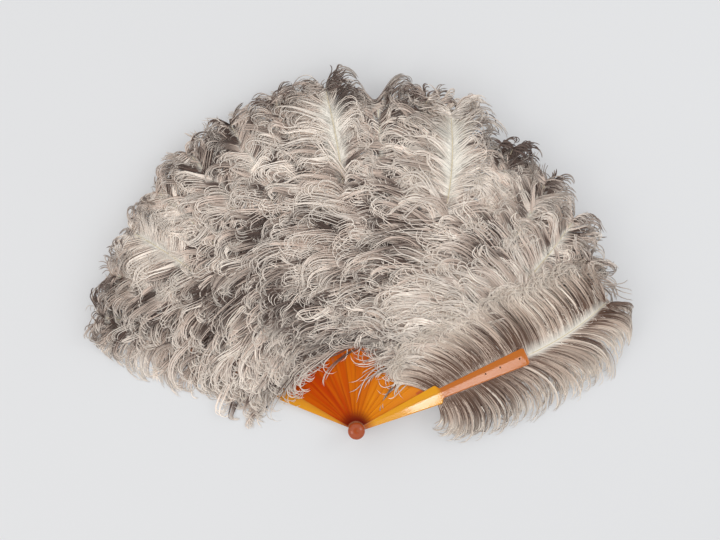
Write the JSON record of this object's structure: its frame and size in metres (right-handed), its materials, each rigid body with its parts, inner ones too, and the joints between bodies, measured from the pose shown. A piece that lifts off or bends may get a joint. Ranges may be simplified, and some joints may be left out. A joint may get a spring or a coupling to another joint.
{
  "type": "feather fan",
  "caption": "Folding fan of layered ostrich plumes on overlapping amber sticks that turn on one rivet between two bevelled guards and close into a bundle.",
  "frame": {"origin": "on the rivet's axis, in the flat underside of the back button, which the open fan lies on", "axes": "+Z along the rivet towards the front button; +Y along the middle of the open spread; +X to the side of the front guard, along the fan's greatest width"},
  "size_m": [0.625, 0.427, 0.04],
  "materials": {
    "amber_stick": "polished amber celluloid",
    "amber_guard": "polished amber celluloid",
    "amber_button": "polished amber celluloid",
    "plume": "soft curled ostrich barbs",
    "ribbon_silk": "thin silk ribbon",
    "rivet": "drawn wire",
    "quill_pin": "darkened wire"
  },
  "bodies": {
    "back_guard_body": {"back_guard": "amber_guard", "back_guard_plume": "plume", "back_guard_pin_1": "quill_pin", "back_guard_pin_2": "quill_pin", "back_guard_pin_3": "quill_pin", "rivet_pin": "rivet", "back_button": "amber_button", "front_button": "amber_button", "ribbon_01": "ribbon_silk"},
    "stick_01_body": {"stick_01": "amber_stick", "plume_01": "plume", "ribbon_02": "ribbon_silk"},
    "stick_02_body": {"stick_02": "amber_stick", "plume_02": "plume", "ribbon_03": "ribbon_silk"},
    "stick_03_body": {"stick_03": "amber_stick", "plume_03": "plume", "ribbon_04": "ribbon_silk"},
    "stick_04_body": {"stick_04": "amber_stick", "plume_04": "plume", "ribbon_05": "ribbon_silk"},
    "stick_05_body": {"stick_05": "amber_stick", "plume_05": "plume", "ribbon_06": "ribbon_silk"},
    "stick_06_body": {"stick_06": "amber_stick", "plume_06": "plume", "ribbon_07": "ribbon_silk"},
    "stick_07_body": {"stick_07": "amber_stick", "plume_07": "plume", "ribbon_08": "ribbon_silk"},
    "stick_08_body": {"stick_08": "amber_stick", "plume_08": "plume", "ribbon_09": "ribbon_silk"},
    "stick_09_body": {"stick_09": "amber_stick", "plume_09": "plume", "ribbon_10": "ribbon_silk"},
    "stick_10_body": {"stick_10": "amber_stick", "plume_10": "plume", "ribbon_11": "ribbon_silk"},
    "stick_11_body": {"stick_11": "amber_stick", "plume_11": "plume", "ribbon_12": "ribbon_silk"},
    "stick_12_body": {"stick_12": "amber_stick", "plume_12": "plume", "ribbon_13": "ribbon_silk"},
    "stick_13_body": {"stick_13": "amber_stick", "plume_13": "plume", "ribbon_14": "ribbon_silk"},
    "stick_14_body": {"stick_14": "amber_stick", "plume_14": "plume", "ribbon_15": "ribbon_silk"},
    "front_guard_body": {"front_guard": "amber_guard", "front_guard_plume": "plume", "front_guard_pin_1": "quill_pin", "front_guard_pin_2": "quill_pin", "front_guard_pin_3": "quill_pin"}
  },
  "joints": [
    {"name": "stick_01_fold", "type": "hinge", "parent": "back_guard_body", "child": "stick_01_body", "pos_m": [0, 0, 0.015], "axis": [0, 0, 1], "range_deg": [0, 8.61]},
    {"name": "stick_02_fold", "type": "hinge", "parent": "back_guard_body", "child": "stick_02_body", "pos_m": [0, 0, 0.015], "axis": [0, 0, 1], "range_deg": [0, 17.21]},
    {"name": "stick_03_fold", "type": "hinge", "parent": "back_guard_body", "child": "stick_03_body", "pos_m": [0, 0, 0.015], "axis": [0, 0, 1], "range_deg": [0, 25.81]},
    {"name": "stick_04_fold", "type": "hinge", "parent": "back_guard_body", "child": "stick_04_body", "pos_m": [0, 0, 0.015], "axis": [0, 0, 1], "range_deg": [0, 34.41]},
    {"name": "stick_05_fold", "type": "hinge", "parent": "back_guard_body", "child": "stick_05_body", "pos_m": [0, 0, 0.015], "axis": [0, 0, 1], "range_deg": [0, 43.01]},
    {"name": "stick_06_fold", "type": "hinge", "parent": "back_guard_body", "child": "stick_06_body", "pos_m": [0, 0, 0.015], "axis": [0, 0, 1], "range_deg": [0, 51.61]},
    {"name": "stick_07_fold", "type": "hinge", "parent": "back_guard_body", "child": "stick_07_body", "pos_m": [0, 0, 0.015], "axis": [0, 0, 1], "range_deg": [0, 60.21]},
    {"name": "stick_08_fold", "type": "hinge", "parent": "back_guard_body", "child": "stick_08_body", "pos_m": [0, 0, 0.015], "axis": [0, 0, 1], "range_deg": [0, 68.81]},
    {"name": "stick_09_fold", "type": "hinge", "parent": "back_guard_body", "child": "stick_09_body", "pos_m": [0, 0, 0.015], "axis": [0, 0, 1], "range_deg": [0, 77.41]},
    {"name": "stick_10_fold", "type": "hinge", "parent": "back_guard_body", "child": "stick_10_body", "pos_m": [0, 0, 0.015], "axis": [0, 0, 1], "range_deg": [0, 86.01]},
    {"name": "stick_11_fold", "type": "hinge", "parent": "back_guard_body", "child": "stick_11_body", "pos_m": [0, 0, 0.015], "axis": [0, 0, 1], "range_deg": [0, 94.61]},
    {"name": "stick_12_fold", "type": "hinge", "parent": "back_guard_body", "child": "stick_12_body", "pos_m": [0, 0, 0.015], "axis": [0, 0, 1], "range_deg": [0, 103.21]},
    {"name": "stick_13_fold", "type": "hinge", "parent": "back_guard_body", "child": "stick_13_body", "pos_m": [0, 0, 0.015], "axis": [0, 0, 1], "range_deg": [0, 111.81]},
    {"name": "stick_14_fold", "type": "hinge", "parent": "back_guard_body", "child": "stick_14_body", "pos_m": [0, 0, 0.015], "axis": [0, 0, 1], "range_deg": [0, 120.41]},
    {"name": "front_guard_fold", "type": "hinge", "parent": "back_guard_body", "child": "front_guard_body", "pos_m": [0, 0, 0.015], "axis": [0, 0, 1], "range_deg": [0, 129]}
  ],
  "couplings": [
    {"joint": "stick_01_fold", "follows": "front_guard_fold", "ratio": 0.066667},
    {"joint": "stick_02_fold", "follows": "front_guard_fold", "ratio": 0.13333},
    {"joint": "stick_03_fold", "follows": "front_guard_fold", "ratio": 0.2},
    {"joint": "stick_04_fold", "follows": "front_guard_fold", "ratio": 0.26667},
    {"joint": "stick_05_fold", "follows": "front_guard_fold", "ratio": 0.33333},
    {"joint": "stick_06_fold", "follows": "front_guard_fold", "ratio": 0.4},
    {"joint": "stick_07_fold", "follows": "front_guard_fold", "ratio": 0.46667},
    {"joint": "stick_08_fold", "follows": "front_guard_fold", "ratio": 0.53333},
    {"joint": "stick_09_fold", "follows": "front_guard_fold", "ratio": 0.6},
    {"joint": "stick_10_fold", "follows": "front_guard_fold", "ratio": 0.66667},
    {"joint": "stick_11_fold", "follows": "front_guard_fold", "ratio": 0.73333},
    {"joint": "stick_12_fold", "follows": "front_guard_fold", "ratio": 0.8},
    {"joint": "stick_13_fold", "follows": "front_guard_fold", "ratio": 0.86667},
    {"joint": "stick_14_fold", "follows": "front_guard_fold", "ratio": 0.93333}
  ]
}
